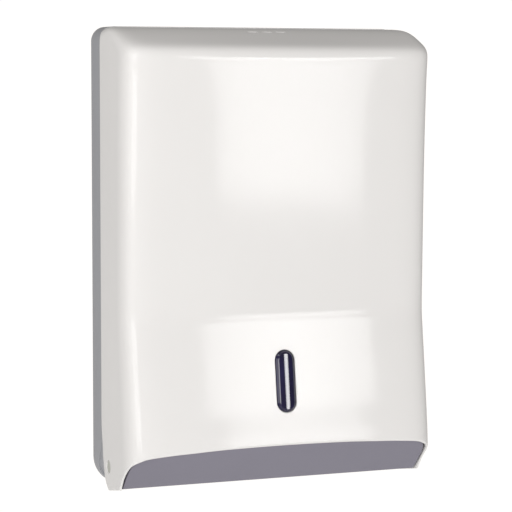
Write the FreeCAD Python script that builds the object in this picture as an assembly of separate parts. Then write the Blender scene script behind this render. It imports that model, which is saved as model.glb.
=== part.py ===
import FreeCAD, Part
import math
import os

V = FreeCAD.Vector
os.makedirs("parts", exist_ok=True)

# Wall-mounted folded paper towel dispenser.
#
# Every piece is drawn with three coordinates:
#   x  across the dispenser, + to the viewer's right
#   d  depth out from the wall (the row's -Y)
#   z  height above the lower front edge line of the cover's side walls
# and is moved down by MOUNT_Z at export, so that the row's origin is the
# centre of the four wall holes on the back plane.

# ------------------------------------------------------------- driving sizes
MOUNT_Z = 210.0          # height of the wall-hole pattern's centre
HOLE_DX = 200.0          # wall holes, across
HOLE_DZ = 280.0          # wall holes, up
WALL_HOLE_R = 3.0

COVER_HALF_W = 145.0     # cover, half width
COVER_T = 2.8            # cover wall
COVER_REAR = 30.0        # cover's rear rim, depth from the wall
COVER_TOP = 406.8        # cover's top at the rear rim

CASE_HALF_W = 143.9      # back case
CASE_TOP = 407.4
CASE_BOTTOM = -11.0
CASE_DEPTH = 29.3
CASE_T = 3.0
CASE_TOP_R = 13.0
CASE_BOTTOM_R = 27.0
TONGUE_T = 1.8           # locating tongue that enters the cover's rim
TONGUE_GAP = 0.7
TONGUE_FRONT = 36.0

PIVOT_D = 52.0           # hinge axis
PIVOT_Z = 15.0
PIN_HEAD_R = 5.70
PIN_HOLE_R = 5.75
PIN_SHANK_R = 4.0
PIN_BORE_R = 4.03
PIN_RECESS = 0.6

TRAY_GAP = 1.0           # cover's inside to the tray
TRAY_T = 2.4
TRAY_TOP = 46.0
TRAY_REAR = 29.8
TIP_D, TIP_Z = 82.5, 0.1     # line where the underside meets the front fascia
UNDER_SLOPE = 0.1745         # underside drops towards the wall
FASCIA_ANGLE = math.radians(45.0)
FASCIA_TAN = math.tan(FASCIA_ANGLE)
MOUTH_HALF_W = 95.0
MOUTH_D0, MOUTH_D1 = 39.0, 79.0
MOUTH_R = 17.0

WINDOW_Z = 94.2          # level window
WINDOW_W, WINDOW_H = 17.4, 54.2
WINDOW_GAP = 0.2

SLOT_D = 67.0            # key slots in the cover's top
SLOT_W, SLOT_L, SLOT_PITCH = 9.0, 3.2, 13.5

LATCH_TRAVEL = 4.5
HOOK_TOP = 391.0
LIP_BOTTOM = 387.5

GUIDE_X = 126.0          # inside faces of the two towel guides
GUIDE_Z0, GUIDE_Z1 = 62.0, 300.0

# Centre profile of the cover (d, z), from the lower lip over the front, the
# top slope and the top to the rear rim.
PROFILE = [(126.2, -14), (126.0, 5), (125.2, 26), (122.6, 52), (117.6, 86),
           (113.0, 118), (109.2, 142), (108.1, 153), (108.5, 166), (109.0, 205),
           (110.0, 255), (111.6, 310), (113.2, 352), (114.1, 370), (114.8, 380.4),
           (112.6, 386.6), (107.4, 390.0), (99.3, 392.7), (86, 396.9), (72, 401.2),
           (60, 404.5), (49, 406.4), (40, COVER_TOP), (COVER_REAR, COVER_TOP)]
# Where the rounded corner has run out into the flat side wall.
SIDE_RUN = [(93, -14), (93, 5), (92.5, 26), (90.5, 52), (86, 86),
            (82, 118), (78.5, 142), (77.5, 153), (77.8, 166), (78.2, 205),
            (78.8, 255), (79.8, 310), (82, 348), (83, 366), (84.3, 377),
            (84.0, 382.0), (82.5, 385), (79.0, 387.5), (71, 391.0), (62, 395.0),
            (53, 396.7), (45, 396.0), (38, 394.0), (COVER_REAR, 391.0)]
# How far the skin stands back towards the sides, compared with the centre.
BOW = [4.3, 4.3, 4.3, 4.3, 4.3, 4.3, 4.3, 4.3, 4.3, 4.3, 4.3, 4.3, 4.0, 3.4,
       2.7, 1.9, 0.9, -0.2, -1.2, -1.5, -1.0, -0.4, -0.1, 0.0]


# ------------------------------------------------------------------ helpers
def P(x, d, z):
    return V(x, -d, z)


def round_wire(pts, radii, put):
    """Closed wire through 2-D points with a radius at each corner."""
    n = len(pts)
    ends = []
    for i in range(n):
        a, b, c = pts[i - 1], pts[i], pts[(i + 1) % n]
        r = radii[i] if isinstance(radii, (list, tuple)) else radii
        u = (a[0] - b[0], a[1] - b[1])
        w = (c[0] - b[0], c[1] - b[1])
        lu, lw = math.hypot(*u), math.hypot(*w)
        u = (u[0] / lu, u[1] / lu)
        w = (w[0] / lw, w[1] / lw)
        if r < 1e-6:
            ends.append((b, None, b))
            continue
        half = math.acos(max(-1.0, min(1.0, u[0] * w[0] + u[1] * w[1]))) / 2
        t = r / math.tan(half)
        p1 = (b[0] + u[0] * t, b[1] + u[1] * t)
        p2 = (b[0] + w[0] * t, b[1] + w[1] * t)
        bis = (u[0] + w[0], u[1] + w[1])
        lb = math.hypot(*bis)
        h = r / math.sin(half)
        cen = (b[0] + bis[0] / lb * h, b[1] + bis[1] / lb * h)
        mid = (cen[0] - bis[0] / lb * r, cen[1] - bis[1] / lb * r)
        ends.append((p1, mid, p2))
    edges = []
    for i in range(n):
        p1, mid, p2 = ends[i]
        if mid is not None:
            edges.append(Part.Arc(put(*p1), put(*mid), put(*p2)).toShape())
        q = ends[(i + 1) % n][0]
        if math.hypot(q[0] - p2[0], q[1] - p2[1]) > 1e-4:
            edges.append(Part.makeLine(put(*p2), put(*q)))
    return Part.Wire(edges)


def prism_x(pts, x0, x1, r=0.0):
    f = Part.Face(round_wire(pts, r, lambda d, z: P(x0, d, z)))
    return f.extrude(V(x1 - x0, 0, 0))


def prism_y(pts, d0, d1, r=0.0):
    f = Part.Face(round_wire(pts, r, lambda x, z: P(x, d0, z)))
    return f.extrude(V(0, -(d1 - d0), 0))


def prism_z(pts, z0, z1, r=0.0):
    f = Part.Face(round_wire(pts, r, lambda x, d: P(x, d, z0)))
    return f.extrude(V(0, 0, z1 - z0))


def box(x0, x1, d0, d1, z0, z1):
    return Part.makeBox(x1 - x0, d1 - d0, z1 - z0, V(x0, -d1, z0))


def cyl_x(x0, x1, d, z, r):
    return Part.makeCylinder(r, x1 - x0, P(x0, d, z), V(1, 0, 0))


def cyl_y(x, z, d0, d1, r):
    return Part.makeCylinder(r, d1 - d0, P(x, d0, z), V(0, -1, 0))


def cyl_z(x, d, z0, z1, r):
    return Part.makeCylinder(r, z1 - z0, P(x, d, z0), V(0, 0, 1))


def rect(a0, a1, b0, b1):
    return [(a0, b0), (a1, b0), (a1, b1), (a0, b1)]


def pill_y(w, h, zc, d0, d1):
    return prism_y(rect(-w / 2, w / 2, zc - h / 2, zc + h / 2), d0, d1, w / 2 - 0.002)


def fuse(first, *rest):
    s = first.multiFuse(list(rest)) if rest else first
    return s.removeSplitter()


def one(s):
    return s.Solids[0] if len(s.Solids) == 1 else s


# ------------------------------------------------------- the cover's surface
def skin_net(t, rear, foot):
    """Control net of the cover's surface, moved inwards by t."""
    w = COVER_HALF_W - t
    n = len(PROFILE)
    rows = []
    for i in range(n):
        a = PROFILE[max(i - 1, 0)]
        b = PROFILE[min(i + 1, n - 1)]
        tx, tz = b[0] - a[0], b[1] - a[1]
        ll = math.hypot(tx, tz)
        nd, nz = tz / ll, -tx / ll
        c = (PROFILE[i][0] - nd * t, PROFILE[i][1] - nz * t)
        s = (PROFILE[i][0] - nd * (BOW[i] + t), PROFILE[i][1] - nz * (BOW[i] + t))
        q = SIDE_RUN[i]
        run = math.hypot(q[0] - s[0], q[1] - s[1])
        r = run * 0.60
        half = []
        for k, x in enumerate((0.0, 0.28 * w, 0.52 * w, w - 2.5 * r, w - 1.35 * r, w - 0.5 * r)):
            f = (x / w) ** 2
            p = (c[0] + (s[0] - c[0]) * f, c[1] + (s[1] - c[1]) * f)
            if k == 5:
                p = (p[0] + (q[0] - s[0]) * 0.07, p[1] + (q[1] - s[1]) * 0.07)
            half.append((x, p[0], p[1]))
        half.append((w - 0.05 * r, s[0] + (q[0] - s[0]) * 0.35, s[1] + (q[1] - s[1]) * 0.35))
        for f in (0.70, 1.0):
            half.append((w, s[0] + (q[0] - s[0]) * f, s[1] + (q[1] - s[1]) * f))
        row = [(-x, d, z) for (x, d, z) in half[:0:-1]] + half
        if i == 0:
            row = [(x, d, foot) for (x, d, z) in row]
        if i == n - 1:
            row = [(x, rear, z) for (x, d, z) in row]
        rows.append([P(*p) for p in row])
    return rows


def skin_surface(t, rear, foot):
    net = skin_net(t, rear, foot)
    nu, nv = len(net), len(net[0])
    um = [4] + [1] * (nu - 4) + [4]
    vm = [4] + [1] * (nv - 4) + [4]
    bs = Part.BSplineSurface()
    bs.buildFromPolesMultsKnots(net, um, vm, list(range(nu - 2)), list(range(nv - 2)),
                                False, False, 3, 3)
    return bs


def skin_solid(t, rear=COVER_REAR, foot=-14.0):
    """Solid bounded by the moved surface, two flat sides, a flat back and a flat foot."""
    w = COVER_HALF_W - t
    bs = skin_surface(t, rear, foot)
    u0, u1, v0, v1 = bs.bounds()
    front = bs.toShape()
    foot_c = bs.uIso(u0).toShape()
    rear_c = bs.uIso(u1).toShape()
    left_c = bs.vIso(v0).toShape()
    right_c = bs.vIso(v1).toShape()
    fl, fr = bs.value(u0, v0), bs.value(u0, v1)
    rl, rr = bs.value(u1, v0), bs.value(u1, v1)
    bl, br = P(-w, rear, foot), P(w, rear, foot)
    faces = [front]
    faces.append(Part.Face(Part.Wire([left_c, Part.makeLine(rl, bl), Part.makeLine(bl, fl)])))
    faces.append(Part.Face(Part.Wire([right_c, Part.makeLine(rr, br), Part.makeLine(br, fr)])))
    faces.append(Part.Face(Part.Wire([rear_c, Part.makeLine(rr, br), Part.makeLine(br, bl),
                                      Part.makeLine(bl, rl)])))
    faces.append(Part.Face(Part.Wire([foot_c, Part.makeLine(fr, br), Part.makeLine(br, bl),
                                      Part.makeLine(bl, fl)])))
    sh = Part.makeShell(faces)
    sh.sewShape()
    so = Part.makeSolid(sh)
    if so.Volume < 0:
        so.reverse()
    return so


NODES = {}


def add(name, shape):
    NODES[name] = shape


# ------------------------------------------------------------- front cover
outer = skin_solid(0.0)
inner = skin_solid(COVER_T, rear=COVER_REAR - 8.0, foot=-24.0)
cover = outer.cut(inner)

# ear profile seen from the side: everything outside it is cut away
ear_cut = [(20, 49), (COVER_REAR, 49), (32.7, 33.8), (34.7, 21.1), (37.4, 11.1), (39.7, 3.0),
           (44.4, -1.9), (50.6, -6.9), (84.5, -0.4), (86.8, 3.0), (89.5, 6.9), (92.5, 10.6),
           (96.0, 14.1), (99.8, 17.4), (104.0, 20.8), (109.0, 24.4), (112.8, 26.6), (116.0, 28.0),
           (120.0, 29.2), (126.0, 29.8), (140, 30.0), (140, -30), (20, -30)]
cover = cover.cut(prism_x(ear_cut, -160, 160))
# arched lower lip seen from the front, rounding down into the ears
lip = [(-143.6, -30), (-143.6, 10.0), (-143.2, 19.0), (-142.4, 23.6), (-141.2, 26.0), (-139.2, 27.9),
       (-137.0, 29.3), (-134.6, 30.4), (-132.0, 31.4), (-128.0, 32.3), (-123.0, 33.0), (-117.4, 33.5),
       (-106.0, 34.4), (-85.0, 35.5), (-63.0, 36.6), (-40.0, 37.2), (-20.0, 37.5), (0, 37.6)]
lip_pts = [(x, z) for x, z in lip] + [(-x, z) for x, z in lip[-2::-1]]
lip_c = Part.BSplineCurve()
lip_c.interpolate([P(x, 78, z) for x, z in lip_pts[1:-1]])
lip_x = -lip[0][0]
lip_wire = Part.Wire([lip_c.toShape(),
                      Part.makeLine(P(lip_pts[-2][0], 78, lip_pts[-2][1]), P(lip_x, 78, -30)),
                      Part.makeLine(P(lip_x, 78, -30), P(-lip_x, 78, -30)),
                      Part.makeLine(P(-lip_x, 78, -30), P(lip_pts[1][0], 78, lip_pts[1][1]))])
# the lip is cut only between the flat side walls, and across the rounded corners in front
lip_field = prism_z([(-141.9, 78), (141.9, 78), (141.9, 101), (147, 111), (147, 150),
                     (-147, 150), (-147, 111), (-141.9, 101)], -35, 60)
cover = cover.cut(Part.Face(lip_wire).extrude(V(0, -70, 0)).common(lip_field))
# hinge holes in the ears
cover = cover.cut(cyl_x(-150, 150, PIVOT_D, PIVOT_Z, PIN_HOLE_R))
# level window opening
cover = cover.cut(pill_y(WINDOW_W + 2 * WINDOW_GAP, WINDOW_H + 2 * WINDOW_GAP, WINDOW_Z, 90, 130))
# key slots
for k in (-1, 0, 1):
    cover = cover.cut(prism_z(rect(k * SLOT_PITCH - SLOT_W / 2, k * SLOT_PITCH + SLOT_W / 2,
                                   SLOT_D - SLOT_L / 2, SLOT_D + SLOT_L / 2), 394, 412, 0.8))
# bosses that carry the lock housing and the window retainer
near_inner = skin_solid(1.2)
LOCK_BOSS_X = 34.0
LOCK_BOSS_D = 62.0
BOSS_FOOT = 388.0
bosses = []
for s in (-1, 1):
    b = cyl_z(s * LOCK_BOSS_X, LOCK_BOSS_D, BOSS_FOOT, 412, 4.5).common(near_inner)
    bosses.append(b)
RET_BOSS = [(-24.0, WINDOW_Z - 22.0), (24.0, WINDOW_Z - 22.0),
            (-24.0, WINDOW_Z + 22.0), (24.0, WINDOW_Z + 22.0)]
RET_T0, RET_T1 = COVER_T + 0.15, COVER_T + 3.6
skin_r0 = skin_solid(RET_T0, rear=20.0, foot=-30.0)
skin_r1 = skin_solid(RET_T1, rear=16.0, foot=-34.0)
cover = fuse(cover, *bosses)
for s in (-1, 1):
    cover = cover.cut(cyl_z(s * LOCK_BOSS_X, LOCK_BOSS_D, BOSS_FOOT - 1, BOSS_FOOT + 9.0, 1.55))
for x, z in RET_BOSS:
    # blind pilot holes for the retainer's screws in small pads on the wall
    pad = cyl_y(x, z, 96, 130, 3.2).common(near_inner).cut(skin_solid(COVER_T + 2.4, rear=18.0, foot=-32.0))
    cover = cover.fuse(pad)
cover = cover.removeSplitter()
for x, z in RET_BOSS:
    cover = cover.cut(cyl_y(x, z, 96, 130, 1.05).common(skin_solid(1.6)))
add("front_cover", one(cover))

# ------------------------------------------------------------- level window
lens_w, lens_h = WINDOW_W, WINDOW_H
lens = pill_y(lens_w, lens_h, WINDOW_Z, 96, 130)
lens = lens.common(skin_solid(-1.5)).cut(skin_solid(COVER_T + 1.7, rear=18.0, foot=-32.0))
flange = pill_y(lens_w + 7, lens_h + 7, WINDOW_Z, 96, 130).common(skin_r0)
flange = flange.cut(skin_solid(COVER_T + 1.7, rear=18.0, foot=-32.0))
lens = fuse(lens, flange)
add("level_window", one(lens))

# ---------------------------------------------------------- window retainer
ret = prism_y([(-29, WINDOW_Z - 38), (29, WINDOW_Z - 38), (29, WINDOW_Z + 38), (-29, WINDOW_Z + 38)],
              90, 130, 12.0)
ret = ret.common(skin_r0).cut(skin_r1)
room = pill_y(lens_w + 8, lens_h + 8, WINDOW_Z, 90, 130).common(skin_r0)
room = room.cut(skin_solid(COVER_T + 1.9, rear=18.0, foot=-32.0))
ret = ret.cut(room)
ret = ret.cut(pill_y(lens_w, lens_h, WINDOW_Z, 90, 130))
for x, z in RET_BOSS:
    ret = ret.cut(cyl_y(x, z, 90, 130, 3.5).common(skin_r0).cut(skin_solid(COVER_T + 2.6, rear=17.0, foot=-33.0)))
    ret = ret.cut(cyl_y(x, z, 90, 130, 1.35))
add("window_retainer", one(ret))

# retainer screws: pan heads on the retainer's inner face
ret_surf = {}
screws = []
for x, z in RET_BOSS:
    probe = Part.makeLine(P(x, 80, z), P(x, 130, z)).common(skin_r1)
    depth = -min(v.Y for v in probe.Vertexes)
    shank = cyl_y(x, z, depth - 0.8, depth + 4.6, 1.0)
    head = Part.makeCone(1.5, 2.6, 1.5, P(x, depth - 2.5, z), V(0, -1, 0))
    head = fuse(head, cyl_y(x, z, depth - 1.0, depth - 0.5, 2.6))
    cross = fuse(box(x - 1.3, x + 1.3, depth - 2.8, depth - 1.7, z - 0.3, z + 0.3),
                 box(x - 0.3, x + 0.3, depth - 2.8, depth - 1.7, z - 1.3, z + 1.3))
    screws.append(one(fuse(head, shank).cut(cross)))
add("retainer_screws", Part.makeCompound(screws))

# ------------------------------------------------------------- lock housing
# an open-backed box under the key slots; its top follows the cover's inside
under = skin_solid(COVER_T + 0.15, rear=20.0, foot=-30.0)
H0, H1 = 52.0, 80.0
lock = box(-27, 27, H0, H1, 373.0, 412).common(under)
well = box(-24.6, 24.6, H0 + 2.4, H1 - 2.4, 370.0, 412)
lock = lock.cut(well)
# rear wall is slotted for the latch arm, with room for its travel
lock = lock.cut(box(-11.5, 11.5, H0 - 2, H0 + 4, 372.0, 388.5))
# screw ears and guide ribs
for s in (-1, 1):
    ear = box(min(s * 26, s * 39.5), max(s * 26, s * 39.5), LOCK_BOSS_D - 5.5, LOCK_BOSS_D + 5.5, 384.9, 387.9)
    lock = lock.fuse(ear)
lock = lock.removeSplitter()
for s in (-1, 1):
    lock = lock.cut(cyl_z(s * LOCK_BOSS_X, LOCK_BOSS_D, 380, 390, 1.8))
add("lock_housing", one(lock))

# lock base: closes the housing's underside and carries the spring post
base = prism_z(rect(-27, 27, H0, H1), 370.4, 372.9, 1.5)
base = fuse(base, box(-24.3, 24.3, H0 + 2.7, H0 + 4.5, 372.8, 375.4),
            box(-24.3, 24.3, H1 - 4.5, H1 - 2.7, 372.8, 375.4),
            cyl_z(0, SLOT_D - 1.0, 372.8, 376.8, 2.2))
base = base.cut(box(-11.5, 11.5, H0 - 2, H0 + 5.2, 372.9, 376))
add("lock_base", one(base))

lock_screws = []
for s in (-1, 1):
    x = s * LOCK_BOSS_X
    head = Part.makeCone(2.0, 3.1, 1.7, P(x, LOCK_BOSS_D, 382.55), V(0, 0, 1))
    head = fuse(head, cyl_z(x, LOCK_BOSS_D, 384.25, 384.8, 3.1))
    sc = fuse(head, cyl_z(x, LOCK_BOSS_D, 384.6, 395.6, 1.5))
    sc = sc.cut(fuse(box(x - 1.6, x + 1.6, LOCK_BOSS_D - 0.35, LOCK_BOSS_D + 0.35, 382.0, 383.6),
                     box(x - 0.35, x + 0.35, LOCK_BOSS_D - 1.6, LOCK_BOSS_D + 1.6, 382.0, 383.6)))
    lock_screws.append(one(sc))
add("lock_screws", Part.makeCompound(lock_screws))

# ------------------------------------------------------------ latch (slides)
SD0, SD1 = H0 + 2.8, H1 - 2.8
slider = box(-24.1, 24.1, SD0, SD1, 381.2, 392.5)
slider = slider.common(skin_solid(COVER_T + 4.5, rear=20.0, foot=-30.0))
parts = [slider]
for k in (-1, 0, 1):
    parts.append(prism_z(rect(k * SLOT_PITCH - 4.0, k * SLOT_PITCH + 4.0, SLOT_D - 1.2, SLOT_D + 1.2),
                         391.0, 397.2, 0.4))
arm = prism_x([(SD0 + 2, 381.2), (SD0 + 2, 387.0), (24.0, 387.0), (24.0, HOOK_TOP),
               (21.6, HOOK_TOP), (17.8, 387.6), (17.8, 381.2)], -10.5, 10.5,
              [0, 0, 0.6, 0.4, 0.8, 1.0, 1.5])
parts.append(arm)
rib = box(-1.2, 1.2, 26.0, SD0 + 1, 379.0 + 0.6, 381.3)
parts.append(rib)
slider = fuse(*parts)
slider = slider.cut(cyl_z(0, SLOT_D - 1.0, 380, 388.4, 5.4))
add("latch_slider", one(slider))

# compression spring between the base and the slider
SPR_Z0, SPR_Z1, SPR_R, SPR_WIRE = 373.1, 388.2, 3.9, 0.45
turns = 5.0
helix = Part.makeHelix((SPR_Z1 - SPR_Z0 - 2 * SPR_WIRE) / turns, SPR_Z1 - SPR_Z0 - 2 * SPR_WIRE, SPR_R)
prof = Part.Wire([Part.makeCircle(SPR_WIRE, V(SPR_R, 0, 0), V(0, 1, 0))])
spring = Part.Wire(helix.Edges).makePipeShell([prof], True, True)
spring.translate(P(0, SLOT_D - 1.0, SPR_Z0 + SPR_WIRE))
add("latch_spring", one(spring))

# ---------------------------------------------------------------- back case
def outline(inset, top_inset=None, z_low=None):
    ti = inset if top_inset is None else top_inset
    zl = CASE_BOTTOM + inset if z_low is None else z_low
    return [(-(CASE_HALF_W - inset), zl), (CASE_HALF_W - inset, zl),
            (CASE_HALF_W - inset, CASE_TOP - ti), (-(CASE_HALF_W - inset), CASE_TOP - ti)]


rb, rt = CASE_BOTTOM_R, CASE_TOP_R
case = prism_y(outline(0), 0, CASE_DEPTH, [rb, rb, rt, rt])
case = case.cut(prism_y(outline(CASE_T), 3.0, CASE_DEPTH + 5, [rb - 3, rb - 3, rt - 3, rt - 3]))
# stepped recess low on both sides, in front of a slanted line
region = prism_x([(34, 47.5), (30.0, 39.1), (16.6, 11.3), (10, -20), (34, -20)], -160, 160)
keep = prism_y(outline(1.3), -1, 40, [rb - 1.3, rb - 1.3, rt - 1.3, rt - 1.3])
case = case.cut(region.cut(keep))
# locating tongue
ti = CASE_T + 0.0
inset = CASE_HALF_W - (COVER_HALF_W - COVER_T - TONGUE_GAP)
top_in = CASE_TOP - (COVER_TOP - COVER_T - TONGUE_GAP)
tong = prism_y(outline(inset, top_in, 62.0), 24.0, TONGUE_FRONT, [0, 0, 16.6, 16.6])
tong = tong.cut(prism_y(outline(inset + TONGUE_T, top_in + TONGUE_T, 50.0), 20.0, TONGUE_FRONT + 4,
                        [0, 0, 14.8, 14.8]))
tong = tong.cut(box(-150, 150, 20, 40, 40, 62))
root = prism_y(outline(0.8, 0.8, 62.0), 23.0, 29.2, [0, 0, rt - 0.8, rt - 0.8])
root = root.cut(prism_y(outline(inset + TONGUE_T, top_in + TONGUE_T, 50.0), 20.0, 40, [0, 0, 14.8, 14.8]))
root = root.cut(box(-150, 150, 20, 40, 40, 62))
bits = [tong, root]
# pads round the wall holes, stiffening ribs, bosses for the tray, guides and catch
HOLES = [(sx * HOLE_DX / 2, MOUNT_Z + sz * HOLE_DZ / 2) for sx in (-1, 1) for sz in (-1, 1)]
for x, z in HOLES:
    bits.append(cyl_y(x, z, 2.8, 5.0, 9.0))
for x in (-60.0, 60.0):
    bits.append(box(x - 0.9, x + 0.9, 2.8, 7.0, 20.0, 362.0))
for z in (20.0, 134.0, 248.0, 362.0):
    bits.append(box(-60.5, 60.5, 2.8, 7.0, z - 0.9, z + 0.9))
TRAY_BOSS = [(-126.0, 12.0), (126.0, 12.0), (-128.0, 34.0), (128.0, 34.0)]
for x, z in TRAY_BOSS:
    bits.append(cyl_y(x, z, 2.8, TRAY_REAR - 0.2, 5.0))
    s = -1 if x < 0 else 1
    if z > 20:
        bits.append(box(min(x, s * 141.8), max(x, s * 141.8), 2.8, TRAY_REAR - 1.0, z - 1.0, z + 1.0))
CATCH_BOSS = [(-22.0, 376.0), (22.0, 376.0)]
case = fuse(case, *bits)
for x, z in HOLES:
    case = case.cut(cyl_y(x, z, -1, 8, WALL_HOLE_R))
for x, z in TRAY_BOSS:
    case = case.cut(cyl_y(x, z, TRAY_REAR - 14.0, TRAY_REAR + 2, 1.55))
for x, z in CATCH_BOSS:
    case = case.cut(cyl_y(x, z, -1, 8, 1.55))
GUIDE_SCREW = [(s * (GUIDE_X + 7.0), z) for s in (-1, 1) for z in (GUIDE_Z0 + 25, GUIDE_Z1 - 25)]
for x, z in GUIDE_SCREW:
    case = case.cut(cyl_y(x, z, -1, 8, 1.55))
add("back_case", one(case))

# -------------------------------------------------------------- latch catch
# folded steel strip: a foot on the back plate, an arm forward and a lip down
catch = fuse(box(-30, 30, 3.1, 4.9, 370.0, 400.0),
             box(-14, 14, 4.8, 28.0, 398.2, 400.0),
             box(-14, 14, 26.2, 28.0, LIP_BOTTOM, 398.6))
catch = catch.cut(box(-12.5, 12.5, 2, 4.95, 374, 396.5))
for x, z in CATCH_BOSS:
    catch = catch.cut(cyl_y(x, z, 2, 6, 1.8))
add("latch_catch", one(catch))


def pan_screw(x, z, face, length, r, head_r, head_h):
    """Screw driven towards the wall; face is the depth its head sits on."""
    h = Part.makeCone(head_r, head_r * 0.55, head_h, P(x, face + 0.5, z), V(0, -1, 0))
    h = fuse(h, cyl_y(x, z, face, face + 0.55, head_r), cyl_y(x, z, face - length, face + 0.1, r))
    a = head_r * 0.52
    top = face + 0.5 + head_h
    cross = fuse(box(x - a, x + a, top - 1.0, top + 1, z - 0.35, z + 0.35),
                 box(x - 0.35, x + 0.35, top - 1.0, top + 1, z - a, z + a))
    return one(h.cut(cross))


add("catch_screws", Part.makeCompound([pan_screw(x, z, 5.0, 4.6, 1.5, 3.2, 1.4) for x, z in CATCH_BOSS]))

# --------------------------------------------------------------- towel tray
def under_z(d):
    return TIP_Z - (TIP_D - d) * UNDER_SLOPE


def tray_wedge(grow):
    """Side profile of the tray, moved inwards by grow (measured square to each face)."""
    a = math.atan(UNDER_SLOPE)
    b = FASCIA_ANGLE
    up = grow / math.cos(a)
    # underside moved up, fascia moved back
    def line_u(d):
        return under_z(d) + up
    # fascia: z = TIP_Z + (d - TIP_D) * FASCIA_TAN + grow / cos(b)
    gf = grow / math.cos(b)
    dm = (line_u(0) - (TIP_Z - TIP_D * FASCIA_TAN + gf)) / (FASCIA_TAN - UNDER_SLOPE)
    zm = line_u(dm)
    top = TRAY_TOP if grow == 0 else TRAY_TOP + 20
    back = TRAY_REAR if grow == 0 else TRAY_REAR - 10
    dt = TIP_D + (top - TIP_Z - gf) / FASCIA_TAN
    return [(back, line_u(back)), (dm, zm), (dt, top), (back, top)]


t0 = COVER_T + TRAY_GAP
t1 = t0 + TRAY_T
tray_out = skin_solid(t0, rear=26.0, foot=-26.0).common(prism_x(tray_wedge(0), -150, 150, [0, 2.0, 0, 0]))
tray_in = skin_solid(t1, rear=10.0, foot=-34.0).common(prism_x(tray_wedge(TRAY_T), -150, 150))


def beyond(a, b, c, shift):
    """Large block on the lower outer side of the plane through three points (x, d, z)."""
    a, b, c = P(*a), P(*b), P(*c)
    n = (b - a).cross(c - a)
    n.normalize()
    if n.z > 0:
        n = n * -1
    blk = Part.makeBox(300, 300, 150, V(-150, -150, 0))
    blk.Placement = FreeCAD.Placement(a - n * shift, FreeCAD.Rotation(V(0, 0, 1), n))
    return blk


for s in (-1, 1):
    # the tray's lower rear corners are cut off by a slanted facet
    tri = ((s * 141, 60, -4.1), (s * 141, 30, 16), (s * 116, 30, -10))
    tray_out = tray_out.cut(beyond(*tri, 0.0))
    tray_in = tray_in.cut(beyond(*tri, TRAY_T))
tray = tray_out.cut(tray_in)
hw = COVER_HALF_W - t0
adds = []
for s in (-1, 1):
    # rear flanges that are screwed to the back case, and the hinge bosses
    adds.append(box(min(s * 112, s * (hw - 0.5)), max(s * 112, s * (hw - 0.5)), TRAY_REAR, TRAY_REAR + 2.4,
                    5.0, 42.0).cut(beyond((s * 141, 60, -4.1), (s * 141, 30, 16), (s * 116, 30, -10), 1.0)))
    adds.append(cyl_x(min(s * 130.5, s * (hw - 0.2)), max(s * 130.5, s * (hw - 0.2)), PIVOT_D, PIVOT_Z, 8.5))
    for zz in (24.0,):
        adds.append(box(min(s * 133, s * (hw - 0.5)), max(s * 133, s * (hw - 0.5)), TRAY_REAR + 2, PIVOT_D - 5,
                        zz - 0.8, zz + 0.8))
# raised rim round the mouth
mc = (MOUTH_D0 + MOUTH_D1) / 2
rim_hi = prism_z(rect(-MOUTH_HALF_W - 2.4, MOUTH_HALF_W + 2.4, MOUTH_D0 - 2.4, MOUTH_D1 + 2.4), -30, 30, MOUTH_R + 2.4)
slab = prism_x([(20, under_z(20) + 0.2), (100, under_z(100) + 0.2), (100, under_z(100) + 5.4), (20, under_z(20) + 5.4)],
               -120, 120)
adds.append(rim_hi.common(slab))
tray = fuse(tray, *adds)
tray = tray.cut(prism_z(rect(-MOUTH_HALF_W, MOUTH_HALF_W, MOUTH_D0, MOUTH_D1), -40, 12, MOUTH_R))
for s in (-1, 1):
    tray = tray.cut(cyl_x(min(s * 129, s * 143), max(s * 129, s * 143), PIVOT_D, PIVOT_Z, PIN_BORE_R))
for x, z in TRAY_BOSS:
    tray = tray.cut(cyl_y(x, z, TRAY_REAR - 1, TRAY_REAR + 4, 1.8))
add("towel_tray", one(tray))
add("tray_screws", Part.makeCompound([pan_screw(x, z, TRAY_REAR + 2.5, 12.0, 1.5, 3.4, 1.6) for x, z in TRAY_BOSS]))

# -------------------------------------------------------------- hinge pins
def hinge_pin(s):
    xo = COVER_HALF_W - PIN_RECESS
    a = cyl_x(min(s * (COVER_HALF_W - COVER_T + 0.1), s * xo), max(s * (COVER_HALF_W - COVER_T + 0.1), s * xo),
              PIVOT_D, PIVOT_Z, PIN_HEAD_R)
    b = cyl_x(min(s * 131.5, s * (COVER_HALF_W - 1.0)), max(s * 131.5, s * (COVER_HALF_W - 1.0)),
              PIVOT_D, PIVOT_Z, PIN_SHANK_R)
    pin = fuse(a, b)
    # shallow driver slot in the head
    return one(pin)


add("hinge_pin_left", hinge_pin(-1))
add("hinge_pin_right", hinge_pin(1))
wash = []
for s in (-1, 1):
    x0, x1 = hw + 0.15, COVER_HALF_W - COVER_T - 0.15
    w_ = cyl_x(min(s * x0, s * x1), max(s * x0, s * x1), PIVOT_D, PIVOT_Z, 9.5)
    wash.append(one(w_.cut(cyl_x(-150, 150, PIVOT_D, PIVOT_Z, PIN_SHANK_R + 0.05))))
add("hinge_washers", Part.makeCompound(wash))

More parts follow.
